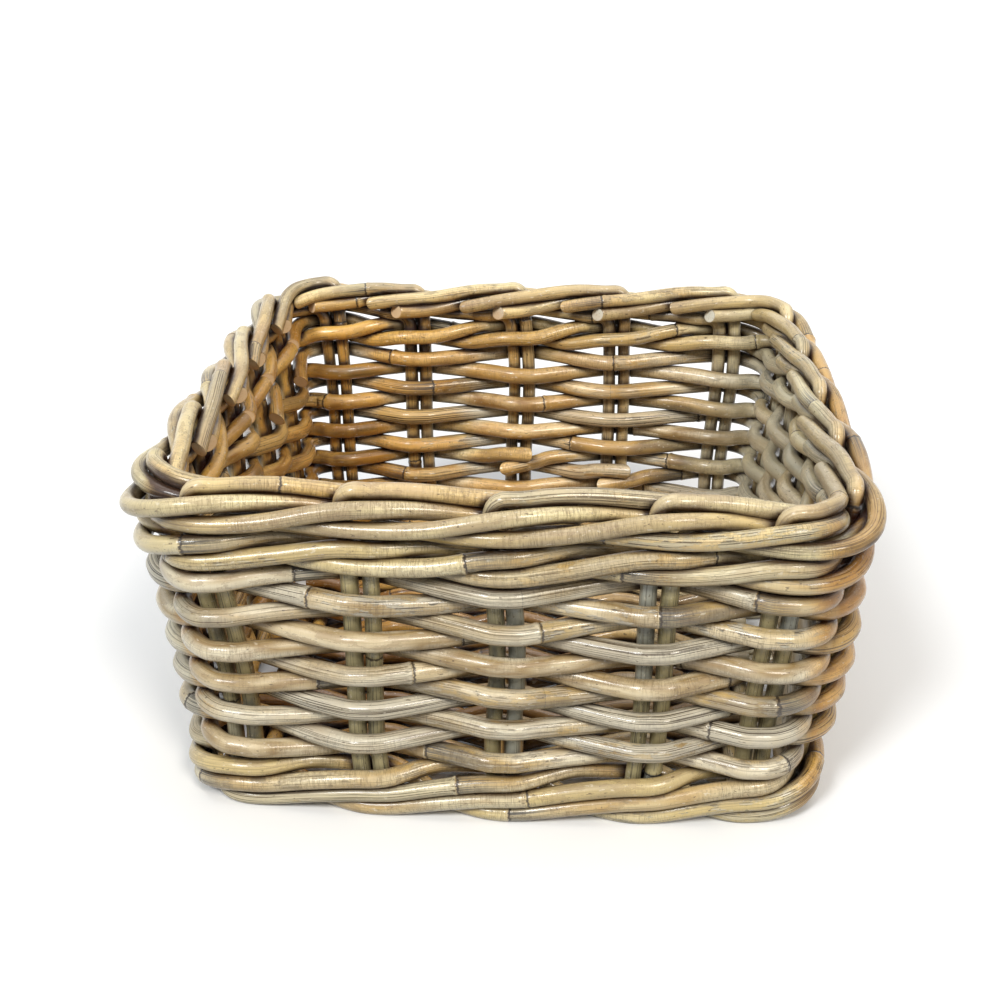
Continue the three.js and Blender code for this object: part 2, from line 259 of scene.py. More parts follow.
def frames_along(path):
    """Unit tangents and two unit normals at each point of a path, without twist.

    The normals start square to one fixed direction; the angle by which each pair is turned
    against the last one, carried over to its tangent, is summed along the path and undone.
    """
    tangents = np.gradient(path, axis=0)
    tangents /= np.linalg.norm(tangents, axis=1, keepdims=True)
    fixed = np.array([0.31, 0.52, 0.79])
    first = fixed - tangents * (tangents @ fixed)[:, None]
    first /= np.linalg.norm(first, axis=1, keepdims=True)
    second = np.cross(tangents, first)
    carried = first[:-1] - tangents[1:] * (first[:-1] * tangents[1:]).sum(axis=1, keepdims=True)
    turn = np.arctan2((carried * second[1:]).sum(axis=1), (carried * first[1:]).sum(axis=1))
    turn = np.r_[0, np.cumsum(turn)][:, None]
    normals = np.cos(turn) * first + np.sin(turn) * second
    return tangents, normals, np.cross(tangents, normals)


# How close the rods lie

CELL = 2.0
CROWD_CORNER = np.array([-216.0, -216.0, -10.0])
CROWD_CELLS = (217, 217, 115)
CROWD_SPREAD = 1.7  # in cells
CROWD_PROBE = 4.0  # how far off the skin it is felt


def crowding(rods):
    """How full of cane the space is, from 0 to 1, on a grid of 2 mm cells: those within a
    rod are 1, and then each is the mean of its neighbours, weighted by a bell curve."""
    reach = int(STAKE_R // CELL)
    steps = np.arange(-reach, reach + 1)
    ball = np.stack(np.meshgrid(steps, steps, steps, indexing="ij"), axis=-1).reshape(-1, 3)
    ball = ball[np.linalg.norm(ball, axis=1) * CELL <= STAKE_R]
    grid = np.zeros(CROWD_CELLS, np.float32)
    for _, points, *_ in rods:
        path, _ = even(sway(points), CELL)
        cells = np.rint((path - CROWD_CORNER) / CELL).astype(int)[:, None] + ball[None]
        grid[tuple(cells.reshape(-1, 3).T)] = 1
    weights = bell(CROWD_SPREAD)
    for axis in range(3):
        grid = sum(weight * np.roll(grid, step, axis)
                   for step, weight in enumerate(weights, -(len(weights) // 2)))
    return grid


def crowded_at(points):
    """The crowding at points, interpolated between the eight cells round each."""
    at = (points - CROWD_CORNER) / CELL
    low = np.floor(at).astype(int)
    part = at - low
    total = np.zeros(points.shape[:-1])
    for corner in np.ndindex(2, 2, 2):
        weight = np.where(corner, part, 1 - part).prod(axis=-1)
        total += weight * CROWDING[tuple(np.moveaxis(low + corner, -1, 0))]
    return total


# Painted light and shade on a rod's skin, by its place, and where the stakes are tinted

WALL_BLEND = 6.0  # from a wall's inner to its outer side
STAKE_INSIDE = 2.5  # the stakes' outer side starts so much further out
SIDE_BLEND = 12.0  # round a corner, from the front's tone to the side's
RIM_SHADE_TOP, RIM_SHADE_DEPTH = 205, 30  # none above this level, and all of it so much lower
# painted warm shade inside the basket
WARM_SHADE_SHARE, WARM_SHADE_FADE = 0.62, 300  # at the middle, and how far it is from all to none
# painted cool light, inside to the right and outside to the left
COOL_LIGHT_START, COOL_LIGHT_RUN = 110, 50  # right of the middle, and how far it is from none to all
COOL_LIGHT_LEFT_SHARE = 0.45
UPRIGHT_RUN, UPRIGHT_INSIDE_SHARE = 8, 0.15
# painted shade between rods that lie close, more in the painted warm shade and added outside to the
# right
CREVICE_START, CREVICE_RANGE = 0.2, 0.42  # the crowding from which it shows, and up to all
CREVICE_GOLDEN, CREVICE_RIGHT, CREVICE_UPRIGHT = 1.3, 0.5, 0.55  # more, added, less there


def light_shade_and_weather_shares(skin, spokes, kind):
    """Shares from 0 to 1 at each point of a rod's skin, by its place on the basket.

    In turn: painted warm shade, golden brown, inside to the left and behind, and outside to the
    right; painted cool grey light, inside to the right and outside to the left; upright, on the
    outside of the walls below the top wale, for the stakes' tint; and painted shade close to other
    rods, which is the crowding a little off the skin, more in the painted warm shade and outside to
    the right.
    """
    x, y, z = skin[..., 0], skin[..., 1], skin[..., 2]
    far, near_middle = np.maximum(np.abs(x), np.abs(y)), np.minimum(np.abs(x), np.abs(y))
    bow = 1 - np.clip(near_middle / straight_half(z), 0, 1) ** 2
    wall = at_height(HALF_FLOOR, HALF_RIM, z) + at_height(BOW_FLOOR, BOW_RIM, z) * bow
    past = STAKE_INSIDE if kind == "stake" else 0.0
    inside = np.clip((wall - far + past) / WALL_BLEND, 0, 1)
    outside = 1 - inside
    under_rim = np.clip((RIM_SHADE_TOP - z) / RIM_SHADE_DEPTH, 0, 1)
    at_right = np.clip((x - HALF_FLOOR + SIDE_BLEND / 2) / SIDE_BLEND, 0, 1)
    at_left = np.clip((-x - HALF_FLOOR + SIDE_BLEND / 2) / SIDE_BLEND, 0, 1)

    # painted warm shade, golden brown: inside to the left and behind, and outside to the right,
    # under the rim
    golden = inside * np.clip(WARM_SHADE_SHARE - x / WARM_SHADE_FADE, 0, 1)
    shelter = under_rim * np.maximum(golden, outside * at_right)
    # painted cool grey light, inside to the right and outside to the left
    bleach = under_rim * np.maximum(inside * np.clip((x - COOL_LIGHT_START) / COOL_LIGHT_RUN, 0, 1),
                                    COOL_LIGHT_LEFT_SHARE * outside * at_left)
    # where the stakes' tint goes: partly weathered tone, partly painted cool shade
    upright = np.clip((TOP_LOW - z) / UPRIGHT_RUN, 0, 1) * (1 - (1 - UPRIGHT_INSIDE_SHARE) * inside)
    # painted shade where other rods lie close, more in the painted warm shade and outside to the
    # right
    crowded = (crowded_at(skin + CROWD_PROBE * spokes) - CREVICE_START) / CREVICE_RANGE
    crevice = crowded * (1 + CREVICE_GOLDEN * golden)
    crevice = np.clip(crevice + CREVICE_RIGHT * outside * at_right * under_rim, 0, 1)
    if kind == "stake":
        crevice *= 1 - CREVICE_UPRIGHT * upright
    return shelter, bleach, upright, crevice


# How a rod is drawn

SIDES = 20
PATH_STEP = 1.0
BEND_SPREAD = {"stake": 2.4, "weaver": 2.1, "wale": 7.0, "base": 4.5}
LOOSE_SPREAD = 14.0

# Stations along a rod: even ones, a lip at each end, and more at the leaf rings
STATION_STEP = 2.2
STATION_START = 0.9
LIP, LIP_SHARE = 0.35, 0.95
RING_STATIONS = np.array([-6, -4.2, -3, -2.1, -1.4, -0.8, -0.3, 0.2, 0.7, 1.3, 2.0, 3.0, 4.2, 6.0])
RING_REACH = 6.5
RING_END_GAP = 1.0

# Leaf rings: ranges to draw from, and the ridge, groove and swelling of one ring
RING_DRAWS = 40  # more than the longest rod has
RING_STEPS, RING_START, RING_STRENGTHS = (150, 330), (60, 250), (0.35, 1.1)
RING_CLEAR = 8.0  # from the rod's ends
NO_RING = -400.0  # far before the rod
RING_PROFILE = ((0.36, -0.5, 1.1), (-0.26, 1.3, 0.8), (0.24, 0.0, 5.0))  # height, middle, width
RING_TILT = 0.4
RING_FAR = 60.0

# Uneven growth
GIRTH_SHARES = (0.965, 1.03)
WAVES = ((0.018, (18, 32)), (0.02, (70, 120)))  # share of the radius, millimetres a radian
LOBES = ((0.02, 2, 60), (0.013, 3, -35))  # share, number round, millimetres a radian of twist
WOBBLE, WOBBLE_LENGTHS, WOBBLE_PHASES = (0.05, 0.2), (50, 110), (0, 6.3)
WOBBLE_STILL = 12  # none up to this height, and in full from twice as high
PHASES = (0, 6)

# Cut ends. The knife took the side towards the basket's middle and the top, or, where a rod
# is tucked under the next one, the other side.
CUT_SLANT = {"stake": 0.9, "weaver": 1.1, "wale": 0.6, "base": 0.1}
CUT_REACH = 8.0
CUT_TOWARDS = np.array([0, 0, 60.0])

STRAIN_GAIN, STRAIN_START = 11, 0.35  # millimetres that multiply curvature, and what is lost
FLOOR_GAP = 0.02
PATTERN_STARTS = (0, 4000)


def leaf_rings(length, rng):
    """Where a leaf once sat along a rod, every 150 to 330 mm, and how strong each ring is."""
    rings = np.cumsum(rng.uniform(*RING_STEPS, RING_DRAWS)) - rng.uniform(*RING_START)
    rings = rings[(rings > RING_CLEAR) & (rings < length - RING_CLEAR)]
    if not len(rings):
        rings = np.array([NO_RING])
    return rings, rng.uniform(*RING_STRENGTHS, len(rings))


def stations_along(length, rings):
    """Where a rod gets a ring of points, in millimetres from its start."""
    s = np.arange(STATION_START, length - STATION_START, STATION_STEP)
    near = (rings[:, None] + RING_STATIONS[None]).ravel()
    near = near[(near > RING_END_GAP) & (near < length - RING_END_GAP)]
    s = s[np.abs(s[:, None] - rings[None]).min(axis=1) > RING_REACH]
    return np.unique(np.r_[0, LIP, s, near, length - LIP, length])


def radii(s, angle, off, strength, diameter, rng):
    """A rod's radius at each station and angle: its own, times slow waves along it and low
    lobes round it, plus the bell curves of a leaf ring, higher on one side."""
    ridge = sum(height * np.exp(-((off - middle) / width) ** 2)
                for height, middle, width in RING_PROFILE) * strength
    waves = 1
    for size, lengths in WAVES:
        waves = waves + size * np.sin(s / rng.uniform(*lengths) + rng.uniform(*PHASES))
    radius = diameter / 2 * FULLNESS * rng.uniform(*GIRTH_SHARES) * waves[:, None]
    lobes = 0
    for size, count, twist in LOBES:
        lobes = lobes + size * np.cos(count * angle + s[:, None] / twist + rng.uniform(*PHASES))
    tilt = RING_TILT * np.sin(angle + rng.uniform(*PHASES))
    radius = radius * (1 + lobes) + ridge[:, None] * (1 + tilt[None])
    radius[[0, -1]] *= LIP_SHARE
    return radius


def cut_slanting(skin, s, centre, tangents, spokes, radius, slant, tucked):
    """The skin sheared along the rod at its two ends, by slant times the distance from its
    middle line towards the side that the knife took, fading out over the cut's reach."""
    for end, sign in ((0, -1), (-1, 1)):
        facing = (CUT_TOWARDS - centre[end] * [1, 1, 0]) * (-1.0 if tucked[end] else 1.0)
        facing /= np.linalg.norm(facing)
        side = (spokes * facing).sum(axis=2) * radius
        from_end = s if end == 0 else s[-1] - s
        fade = np.clip(1 - from_end / CUT_REACH, 0, 1)[:, None]
        skin = skin + (-sign * side * slant * fade)[:, :, None] * tangents[:, None]
    return skin


def rod_faces(rows):
    """Quads between neighbouring stations, and a fan of triangles round the middle of each
    end, whose point comes after those of the skin."""
    count = rows * SIDES
    last = count - SIDES
    i = np.arange(rows - 1)[:, None] * SIDES
    j = np.arange(SIDES)[None]
    beside = (j + 1) % SIDES
    quads = np.stack([i + j, i + beside, i + SIDES + beside, i + SIDES + j], axis=2)
    head = np.stack([np.full(SIDES, count), beside[0], j[0]], axis=1)
    foot = np.stack([np.full(SIDES, count + 1), last + j[0], last + beside[0]], axis=1)
    return quads.reshape(-1, 4), np.vstack([head, foot])


def keep(mesh, label, values, at_ends, kind="FLOAT", field="value"):
    """An attribute of a rod's mesh: its values on the skin, then at the middles of its ends."""
    layer = mesh.attributes.new(label, kind, "POINT")
    every = np.r_[np.asarray(values, np.float32).ravel(), np.asarray(at_ends, np.float32)]
    layer.data.foreach_set(field, every)


def rod_mesh(name, points, loose, tucked, diameter, kind, seed):
    """A round rod along points (millimetres), as a mesh object.

    Its bends are rounded, more where loose is 1, and its middle line wobbles a little. Each
    station has a ring of points on spokes square to the path, a radius away from it.
    Vertex attributes: rod (across, across, along, mm), ring (mm from the nearest leaf ring),
    reed and wear (0 to 1, by stretch between leaf rings), strain (0 to 1, on the outside of
    bends), and the shares of painted warm shade, painted cool light, the stakes' tint and
    painted shade between rods.
    """
    rng = np.random.default_rng(seed)
    columns, _ = even(np.column_stack([sway(points), loose]), PATH_STEP)
    tight, wide = eased(columns[:, :3], BEND_SPREAD[kind]), eased(columns[:, :3], LOOSE_SPREAD)
    path, length = even(tight + (wide - tight) * columns[:, 3:], PATH_STEP)

    rings, strengths = leaf_rings(length, rng)
    s = stations_along(length, rings)
    stations = np.linspace(0, length, len(path))
    centre = np.stack([np.interp(s, stations, c) for c in path.T], axis=1)
    wobble = rng.uniform(*WOBBLE, 3) * np.sin(
        s[:, None] * 2 * math.pi / rng.uniform(*WOBBLE_LENGTHS, 3) + rng.uniform(*WOBBLE_PHASES, 3))
    centre = centre + wobble * np.clip(centre[:, 2:] - WOBBLE_STILL, 0, WOBBLE_STILL) / WOBBLE_STILL
    tangents, across, up = frames_along(centre)

    angle = np.arange(SIDES) * 2 * math.pi / SIDES
    nearest = np.abs(s[:, None] - rings[None]).argmin(axis=1)
    off = s - rings[nearest]
    radius = radii(s, angle, off, strengths[nearest], diameter, rng)
    cosine, sine = np.cos(angle)[None, :, None], np.sin(angle)[None, :, None]
    spokes = across[:, None] * cosine + up[:, None] * sine
    skin = centre[:, None] + spokes * radius[:, :, None]
    skin = cut_slanting(skin, s, centre, tangents, spokes, radius, CUT_SLANT[kind], tucked)

    bend = np.gradient(tangents, axis=0) / np.gradient(s)[:, None]
    outer = -np.einsum("nj,nkj->nk", bend, spokes)
    strain = np.clip(outer * STRAIN_GAIN - STRAIN_START, 0, 1)
    shelter, bleach, upright, crevice = light_shade_and_weather_shares(skin, spokes, kind)

    start = rng.uniform(*PATTERN_STARTS)
    rod = np.empty((len(s), SIDES, 3))
    rod[..., 0] = radius * np.cos(angle)
    rod[..., 1] = radius * np.sin(angle)
    rod[..., 2] = (s + start)[:, None]
    stretch = np.searchsorted(rings, s)
    reeds, wears = rng.uniform(0, 1, (2, len(rings) + 2))
    ones = np.ones((1, SIDES))

    verts = np.vstack([skin.reshape(-1, 3), skin[[0, -1]].mean(axis=1)])
    verts[:, 2] = np.maximum(verts[:, 2], FLOOR_GAP)
    quads, fans = rod_faces(len(s))
    mesh = bpy.data.meshes.new(name)
    mesh.from_pydata((verts * MM).tolist(), [], quads.tolist() + fans.tolist())
    is_end = np.r_[np.zeros(len(quads), bool), np.ones(len(fans), bool)]
    mesh.polygons.foreach_set("use_smooth", ~is_end)
    mesh.polygons.foreach_set("material_index", is_end.astype(int))
    keep(mesh, "rod", rod, [0, 0, start, 0, 0, start + length], "FLOAT_VECTOR", "vector")
    keep(mesh, "ring", np.clip(off, -RING_FAR, RING_FAR)[:, None] * ones, [RING_FAR, RING_FAR])
    keep(mesh, "reed", reeds[stretch][:, None] * ones, reeds[:2])
    keep(mesh, "wear", wears[stretch][:, None] * ones, wears[:2])
    keep(mesh, "strain", strain, [0, 0])
    keep(mesh, "crevice", crevice, [0, 0])
    keep(mesh, "shelter", shelter, shelter[[0, -1], 0])
    keep(mesh, "bleach", bleach, bleach[[0, -1], 0])
    keep(mesh, "upright", upright, [0, 0])
    mesh.update()
    piece = bpy.data.objects.new(name, mesh)
    bpy.context.scene.collection.objects.link(piece)
    return piece


# Where each rod runs

def row_level(k, first_level):
    """A weaver's level at pair k: flat round the basket, then up two rows over two pairs."""
    past = k - CLIMB_START - CLIMB_PAIRS
    laps = math.floor(past / PAIRS)
    within = past - laps * PAIRS
    climbed = max(0, within - PAIRS + CLIMB_PAIRS)
    return FIRST_ROW + ROW_PITCH * (first_level + 2 * laps + 2 * climbed / CLIMB_PAIRS)


def weaver_run(first, last, first_level):
    """In front of one pair and behind the next, from pair first to pair last."""
    run = []
    aside = WEAVER_R + TOUCH / 2
    from_row = WEAVER_OUT * JOINT_RUN / (2 * JOINT_RUN + 2 * WEAVER_FLAT)
    for k in range(first, last + 1):
        z = row_level(k, first_level)
        out = WEAVER_OUT if (k - first) % 2 else -WEAVER_OUT
        if k == first:
            run += [place(k, -TAIL_PAST, -WEAVER_OUT - TAIL_REACH, z + aside),
                    place(k, TAIL_PAST, -WEAVER_OUT, z + aside),
                    place(k, JOINT_RUN, -WEAVER_OUT + from_row, z)]
        elif k == last:
            run += [place(k, -JOINT_RUN, -WEAVER_OUT + from_row, z),
                    place(k, -TAIL_PAST, -WEAVER_OUT, z - aside),
                    place(k, TAIL_PAST, -WEAVER_OUT - TAIL_REACH, z - aside)]
        else:
            run += [place(k, -WEAVER_FLAT, out, z), place(k, WEAVER_FLAT, out, z)]
    return run


def wale_run(first, last, lanes, crossings):
    """Through the lanes one after the other, with a crossing half way to each next pair."""
    run = []
    for k in range(first, last + 1):
        stride = (k - first) % len(lanes)
        out, z = lanes[stride]
        flat = WALE_INSIDE_FLAT if out < 0 else WALE_FLAT
        run.append(place(k, WALE_END_GAP / 2 if k == first else -flat, out, z))
        run.append(place(k, -WALE_END_GAP / 2 if k == last else flat, out, z))
        if k < last:
            run.append(place(k + 0.5, 0, *crossings[stride]))
    return run


# (out, z) of the wales by each pair, and half way to the next
BOTTOM_LANES = [(-WALE_OUT, WALE_INSIDE), (WALE_OUT - BOTTOM_TUCK, WALE_LOW),
                (WALE_OUT, WALE_MIDDLE), (WALE_OUT, WALE_HIGH)]
BOTTOM_CROSSINGS = [(-WALE_CROSS, WALE_LOW + 0.14 * WALE_STEP),
                    (WALE_OUT - BOTTOM_TUCK / 3, WALE_LOW + 0.6 * WALE_STEP),
                    (WALE_OUT, WALE_MIDDLE + 0.6 * WALE_STEP),
                    (-WALE_CROSS, WALE_HIGH + 0.36 * WALE_STEP)]
TOP_LANES = [(-WALE_OUT, (TOP_LOW + TOP_HIGH) / 2), (WALE_OUT, TOP_LOW), (WALE_OUT, TOP_HIGH)]
TOP_CROSSINGS = [(-WALE_CROSS, TOP_LOW - 0.12 * WALE_STEP),
                 (WALE_OUT, TOP_LOW + 0.36 * WALE_STEP),
                 (-WALE_CROSS, TOP_HIGH)]


def upright_run(k, along, foot, top):
    """Out of the base, up the wall and over into the border."""
    return [place(k, along, -FOOT_BEND, foot),
            place(k, along, -FOOT_BEND * BEND_SHARE, foot + FOOT_BEND * BEND_SHARE),
            place(k, along, 0, foot + FOOT_BEND),
            place(k, along, 0, top - RIM_BEND),
            place(k, along + RIM_BEND * BEND_SHARE, 0, top - RIM_BEND * BEND_SHARE),
            place(k, along + RIM_BEND, 0, top)]


def top_rod_run(k):
    """On top of the border to the next pair, and down inside past it."""
    fallen = BORDER_TOP - TOP_ROD_FALL
    return [place(k + 0.5, 0, -BORDER_INSIDE / 2, BORDER_TOP + TOUCH),
            place(k + 1, -BORDER_FLAT, -BORDER_INSIDE, fallen),
            place(k + 1, BORDER_FLAT, -BORDER_INSIDE, fallen - 1.3 * TOUCH),
            place(k + 1.5, 0, -BORDER_TAIL_IN, BORDER_TOP - TOP_ROD_TAIL_FALL)]


def side_rod_run(k):
    """Outside the next two pairs, over the top and down inside behind the third."""
    bulge = BORDER_BULGE if (k + 2) % PAIRS_PER_WALL == 0 else 0
    between = BORDER_LEVEL + BORDER_BETWEEN_SHARE * BORDER_STEP
    fallen = BORDER_UPPER - TOP_ROD_FALL
    return [place(k + 0.5, 0, TOUCH, BORDER_LEVEL),
            place(k + 1, -BORDER_FLAT, BORDER_LOW_OUT, BORDER_LEVEL + BORDER_LOW_LIFTS[0]),
            place(k + 1, BORDER_FLAT, BORDER_LOW_OUT, BORDER_LEVEL + BORDER_LOW_LIFTS[1]),
            place(k + 1.5, 0, BORDER_BETWEEN_OUT + bulge, between),
            place(k + 2, -BORDER_FLAT, BORDER_HIGH_OUTS[0], BORDER_UPPER + BORDER_HIGH_LIFTS[0]),
            place(k + 2, BORDER_FLAT, BORDER_HIGH_OUTS[1], BORDER_UPPER + BORDER_HIGH_LIFTS[1]),
            place(k + 2.5, 0, -2 * TOUCH, BORDER_UPPER + 5 * TOUCH),
            place(k + 3, -BORDER_FLAT, -BORDER_INSIDE, fallen),
            place(k + 3, BORDER_TAIL_RUN, -BORDER_TAIL_IN, fallen - 2 * TOUCH)]


def stake_end(k, is_first, foot):
    """Points from the base up pair k's first or second stake and along the border, with a
    fourth column, how loose it is: 0 up to the fold at the rim, then rising to 1."""
    along = -HALF_SPREAD if is_first else HALF_SPREAD
    border = top_rod_run(k) if is_first else side_rod_run(k)
    upright = upright_run(k, along, foot, BORDER_TOP if is_first else BORDER_LEVEL)
    wall = wall_points(dense(upright))
    rim = wall_points(dense([upright[-1]] + border))[1:]
    run = np.cumsum(np.linalg.norm(np.diff(np.vstack([wall[-1:], rim]), axis=0), axis=1))
    loose = np.r_[np.zeros(len(wall)), np.clip(run / FOLD_RUN, 0, 1)]
    return np.column_stack([np.vstack([wall, rim]), loose])


WARPS = []  # the two ends on the base of each front-to-back stake
WEFTS = []  # how far back each side stake crosses the base
RODS = []  # (name, points, how loose, which ends are tucked under, diameter, kind)


def weft_points(y, starts_over, rise):
    """Along X over and under the pairs of rods that cross the base."""
    points = []
    for i in range(PAIRS_PER_WALL):
        xs = [np.interp(y, (front[1], back[1]), (front[0], back[0]))
              for front, back in WARPS[2 * i:2 * i + 2]]
        middle = sum(xs) / 2
        z = BASE_LEVEL + (rise if (i % 2 == 0) == starts_over else -rise)
        points += [(middle - BASE_FLAT, y, z, 0), (middle + BASE_FLAT, y, z, 0)]
    return points


def lay(name, points, diameter, kind, tucked=(False, False)):
    """A rod on the list. Its points may have a fourth column, how loose it is there."""
    points = np.asarray(points, float)
    loose = points[:, 3] if points.shape[1] == 4 else np.zeros(len(points))
    RODS.append((name, points[:, :3], loose, tucked, diameter, kind))


for title, joints, level in (("first", FIRST_JOINTS, 0), ("second", SECOND_JOINTS, 1)):
    for i in range(3):
        points = wall_points(dense(weaver_run(joints[i], joints[i + 1], level)))
        stations = np.r_[0, np.cumsum(np.linalg.norm(np.diff(points, axis=0), axis=1))]
        from_end = np.minimum(stations, stations[-1] - stations)
        loose = np.clip((TAIL_LOOSE - from_end) / TAIL_FADE, 0, 1)
        points = np.column_stack([points, loose])
        lay(f"{title}_weaver_length_{i + 1}", points, WEAVER, "weaver", (True, True))

for i in range(4):
    run = wale_run(i, i + PAIRS, BOTTOM_LANES, BOTTOM_CROSSINGS)
    lay(f"bottom_wale_rod_{i + 1}", wall_points(dense(run)), WALE, "wale")
for i in range(3):
    run = wale_run(TOP_SEAM + i, TOP_SEAM + PAIRS + (i + 1) % 3, TOP_LANES, TOP_CROSSINGS)
    lay(f"top_wale_rod_{i + 1}", wall_points(dense(run)), WALE, "wale")

for i in range(PAIRS_PER_WALL):
    for is_left in (True, False):
        front = stake_end(i, is_left, BASE_LEVEL)
        back = stake_end(3 * PAIRS_PER_WALL - 1 - i, not is_left, BASE_LEVEL)
        WARPS.append((front[0], back[0]))
        name = f"front_back_stake_{i + 1}_{'left' if is_left else 'right'}"
        lay(name, np.vstack([front[::-1], back]), STAKE, "stake", (is_left, not is_left))

for i in range(PAIRS_PER_WALL):
    for is_front in (True, False):
        rise = STAKE + TOUCH
        right = stake_end(PAIRS_PER_WALL + i, is_front, BASE_LEVEL - rise)
        left = stake_end(4 * PAIRS_PER_WALL - 1 - i, not is_front, BASE_LEVEL - rise)
        WEFTS.append(right[0][1])
        across = weft_points(right[0][1], False, rise)
        name = f"side_stake_{i + 1}_{'front' if is_front else 'rear'}"
        lay(name, np.vstack([left[::-1], across, right]), STAKE, "stake", (not is_front, is_front))

for gap in range(1, PAIRS_PER_WALL):
    for i in range(1, BASE_RODS_PER_GAP + 1):
        y = WEFTS[2 * gap - 1] + (WEFTS[2 * gap] - WEFTS[2 * gap - 1]) * i / (BASE_RODS_PER_GAP + 1)
        across = weft_points(y, i % 2 == 1, STAKE_R + BASE_R + TOUCH)
        end = HALF_FLOOR - BASE_ROD_GAP
        points = [(-end, y, across[0][2], 0), *across, (end, y, across[-1][2], 0)]
        number = (gap - 1) * BASE_RODS_PER_GAP + i
        lay(f"base_rod_{number}", points, BASE_ROD, "base")


CROWDING = crowding(RODS)


# Nodes

def to_linear(code):
    """Linear RGBA of an sRGB colour written as a hex code."""
    channels = np.array([int(code[i:i + 2], 16) / 255 for i in (0, 2, 4)])
    linear = np.where(channels <= 0.04045, channels / 12.92, ((channels + 0.055) / 1.055) ** 2.4)
    return (*linear.tolist(), 1.0)


def new_finish(name):
    """A new material, its nodes and its shader."""
    material = bpy.data.materials.new(name)
    material.use_nodes = True
    return material, material.node_tree, material.node_tree.nodes["Principled BSDF"]


def add(tree, kind, *values, **settings):
    """A new node. Its settings come first, then its inputs in their order, leaving out those
    that the settings switch off: an output is linked, any other value is set. It gives the
    node's first output."""
    made = tree.nodes.new("ShaderNode" + kind)
    for key, value in settings.items():
        setattr(made, key, value)
    for socket, value in zip([socket for socket in made.inputs if socket.enabled], values):
        if isinstance(value, bpy.types.NodeSocket):
            tree.links.new(value, socket)
        else:
            socket.default_value = value
    return next(socket for socket in made.outputs if socket.enabled)


def share(tree, *steps):
    """The product of its steps. A step is an output, a number, or (value, low, high, at low,
    at high), which goes smoothly from one to the other, and by default from 0 to 1."""
    factors = [add(tree, "MapRange", *step, interpolation_type="SMOOTHSTEP")
               if isinstance(step, tuple) else step for step in steps]
    product = factors[0]
    for factor in factors[1:]:
        product = add(tree, "Math", product, factor, operation="MULTIPLY")
    return product


def painted(tree, colour, *coats, mode="MIX"):
    """A colour under one coat after the other, each given as (share, colour). A colour is an
    output, linear RGBA or a hex code."""
    for part, coat in coats:
        pair = [to_linear(tone) if isinstance(tone, str) else tone for tone in (colour, coat)]
        colour = add(tree, "Mix", part, *pair, data_type="RGBA", blend_type=mode)
    return colour


def line_at(tree, value, level, core, width, most=1.0):
    """A thin line where value passes level: most within core of it, and 0 beyond width."""
    off = add(tree, "Math", value, level, operation="SUBTRACT")
    off = add(tree, "Math", off, operation="ABSOLUTE")
    return share(tree, (off, core, width, most, 0.0))


# Rattan

SKIN_TONES = {
    "weaver": ["7f7560", "ccb27c", "ead8b2", "a68a5a", "f0e4c6", "c9aa6e", "8c7c5e", "e2ce9c"],
    "wale": ["b09b72", "dcc487", "f0e2b8", "c9a86c", "e6d8b2"],
    "stake": ["c8ab80", "dfc588", "b9a37c", "f0dfaa", "d6b47a"],
    "base": ["8a7048", "9c8050", "90744a", "80683f"],
}
FIBRE_TONES = {  # between the fibres, and the fibres
    "weaver": ("33312e", "d6cfbc"), "wale": ("453820", "dacfb0"),
    "stake": ("413628", "cfc4a4"), "base": ("5a4326", "c0aa80"),
}
WORN = {"weaver": 0.05, "wale": 0.04, "stake": 0.02, "base": 0.0}  # how much more is bare
DULL_VARNISH, VARNISH_EDGE, HAIR_CRACK, SKIN_LINE = "9c8060", "6b5334", "735a38", "6a5233"
# a split fibre's colour, the painted cool light, and the tint of the painted warm shade
SPLIT_FIBRE, PAINTED_COOL_LIGHT, WARM_SHADE_TINT = "ddcba2", "d2d2bb", "ffd890"
# the stakes' tint up the wall: partly their own weathered tone, partly painted cool shade
OLIVE, BLUE_GREY, SLATE, DARK_STREAK = "baaf82", "b6bdb6", "4b5558", "3a3d3a"
SCUFF, DIRT, STAIN, LEAF_RING = "f0e6cf", "4e3a26", "3c4043", "33261a"
# colours of the painted shade between rods: grey, and brown in the painted warm shade
CREVICE_SHADE, CREVICE_SHADE_WARM = "56432f", "3a1c08"
PITH, PITH_LIGHT, PITH_RIM, PITH_IN_SHADE = "c0b89a", "f4f0de", "8c7650", "e2b67e"
TONE_BY_STRETCH, TONE_BY_CLOUDS, TONE_START = 0.75, 0.9, 0.32
RING_RAGGED = 3.0  # a leaf ring's edge strays by so many millimetres times the specks
RING_LINE_AT, RING_LINE_CORE, RING_LINE_WIDTH = 1.2, 0.3, 1.0
STAIN_REACH = 34.0
SKIN_ROUGHNESS, FIBRE_ROUGHNESS, DULL_ROUGHNESS = 0.32, 0.5, 0.4
RATTAN_IOR = 1.52
COAT, COAT_ROUGHNESS = 0.5, 0.14
RELIEF_SKIN, RELIEF_FIBRE, RELIEF_CRACK, RELIEF_FLAKE = 0.06, 0.3, 0.3, 0.12  # millimetres
RELIEF_STRENGTH = 0.8
PORES = 0.9  # to a millimetre
PITH_EDGE, PITH_END = 3.8, 4.7  # from the rod's middle
PITH_ROUGHNESS = 0.85

MARKS = ("ring", "reed", "wear", "strain", "shelter", "bleach", "upright", "crevice")

